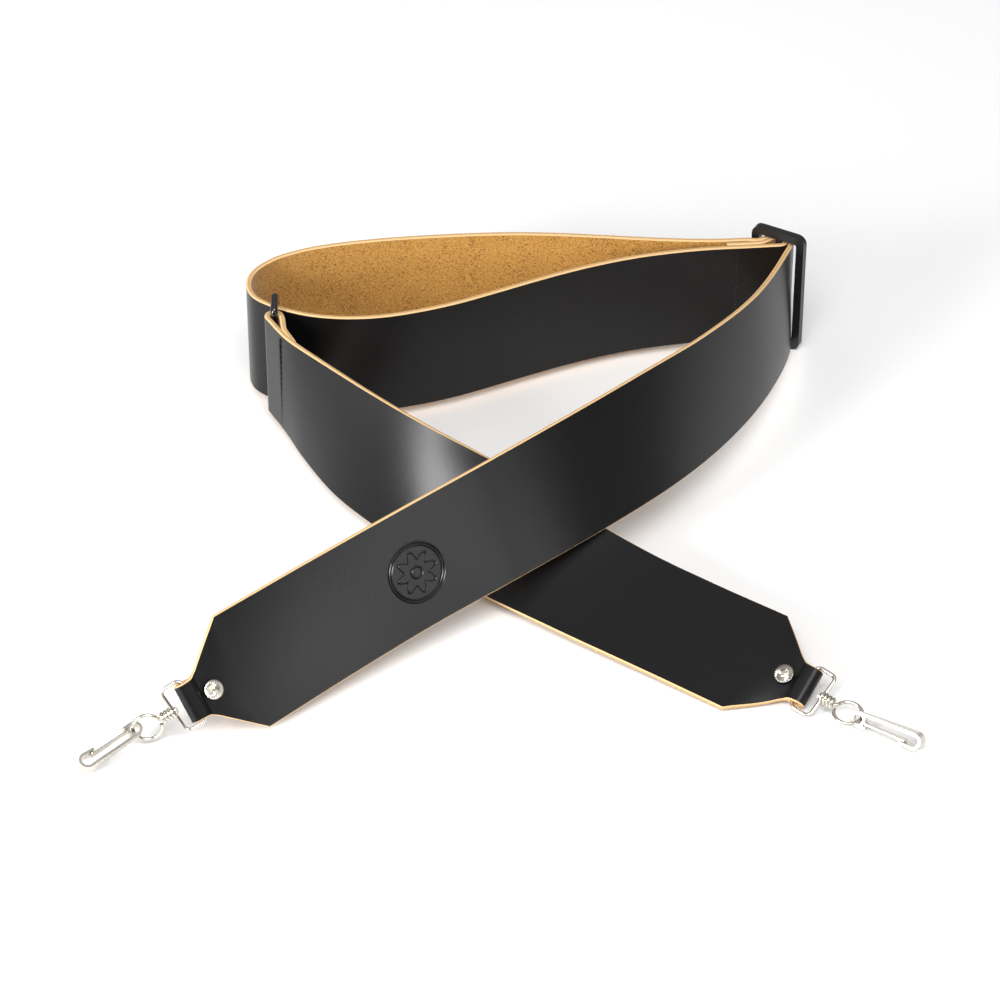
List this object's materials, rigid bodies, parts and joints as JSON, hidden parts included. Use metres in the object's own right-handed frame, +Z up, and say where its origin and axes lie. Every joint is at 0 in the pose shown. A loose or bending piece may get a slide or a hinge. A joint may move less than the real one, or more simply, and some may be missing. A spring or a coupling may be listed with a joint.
{
  "type": "instrument strap",
  "caption": "Wide black leather strap for an instrument, sewn round a sliding buckle and a joining ring, with a riveted tab and a swivel snap hook at each end",
  "frame": {"origin": "on the surface it stands on, under the middle of the strap as it lies", "axes": "+Z up, +Y away from the hooks towards the loop, +X from the plain shoulder towards the sliding buckle"},
  "size_m": [0.4173, 0.3583, 0.0867],
  "materials": {
    "leather": "smooth black drum-dyed grain, golden suede back, light tan cut edges",
    "black_metal": "gloss and satin black enamel",
    "nickel": "bright nickel plate, slightly warm",
    "thread": "black bonded polyester thread"
  },
  "bodies": {
    "root": {"main_strap": "leather", "short_strap": "leather", "slide_seam_thread": "thread", "ring_seam_thread": "thread", "left_rivet_cap": "nickel", "left_rivet_post": "nickel", "right_rivet_cap": "nickel", "right_rivet_post": "nickel"},
    "slide": {"slide_buckle": "black_metal"},
    "ring": {"strap_ring": "black_metal"},
    "left_loop": {"left_wire_loop": "nickel"},
    "left_eye": {"left_swivel_eye": "nickel"},
    "left_hook": {"left_hook_body": "nickel"},
    "left_gate": {"left_hook_gate": "nickel"},
    "right_loop": {"right_wire_loop": "nickel"},
    "right_eye": {"right_swivel_eye": "nickel"},
    "right_hook": {"right_hook_body": "nickel"},
    "right_gate": {"right_hook_gate": "nickel"}
  },
  "joints": [
    {"name": "slide_rock", "type": "hinge", "parent": "root", "child": "slide", "pos_m": [0.1505, 0.17, 0.0375], "axis": [0, 0, 1], "range_deg": [-2, 0]},
    {"name": "ring_rock", "type": "hinge", "parent": "root", "child": "ring", "pos_m": [-0.1193, 0.1037, 0.0375], "axis": [0, 0, 1], "range_deg": [-3, 3]},
    {"name": "left_loop_swing", "type": "hinge", "parent": "root", "child": "left_loop", "pos_m": [-0.15101, -0.14747, 0.02428], "axis": [-0.5445, 0.3625, 0.7564], "range_deg": [-28, 90]},
    {"name": "left_swivel", "type": "hinge", "parent": "left_loop", "child": "left_eye", "pos_m": [-0.16087, -0.14932, 0.01807], "axis": [-0.8357, -0.1572, -0.5263], "continuous": true},
    {"name": "left_hook_swing", "type": "hinge", "parent": "left_eye", "child": "left_hook", "pos_m": [-0.1804, -0.15204, 0.00867], "axis": [-0.1941, 0.2647, -0.9446], "range_deg": [-100, 35]},
    {"name": "left_gate_open", "type": "hinge", "parent": "left_hook", "child": "left_gate", "pos_m": [-0.1846, -0.15462, 0.00881], "axis": [-0.1941, 0.2647, -0.9446], "range_deg": [-9, 0], "stiffness_Nm_per_rad": 0.02},
    {"name": "right_loop_swing", "type": "hinge", "parent": "root", "child": "right_loop", "pos_m": [0.15153, -0.11994, 0.00868], "axis": [0.5911, 0.6597, 0.4641], "range_deg": [-60, 60]},
    {"name": "right_swivel", "type": "hinge", "parent": "right_loop", "child": "right_eye", "pos_m": [0.16069, -0.12729, 0.00745], "axis": [0.7759, -0.6222, -0.1037], "continuous": true},
    {"name": "right_hook_swing", "type": "hinge", "parent": "right_eye", "child": "right_hook", "pos_m": [0.17815, -0.14043, 0.0051], "axis": [0.4935, 0.7362, -0.463], "range_deg": [-70, 70]},
    {"name": "right_gate_open", "type": "hinge", "parent": "right_hook", "child": "right_gate", "pos_m": [0.1819, -0.14352, 0.00419], "axis": [0.4935, 0.7362, -0.463], "range_deg": [-9, 0], "stiffness_Nm_per_rad": 0.02}
  ]
}
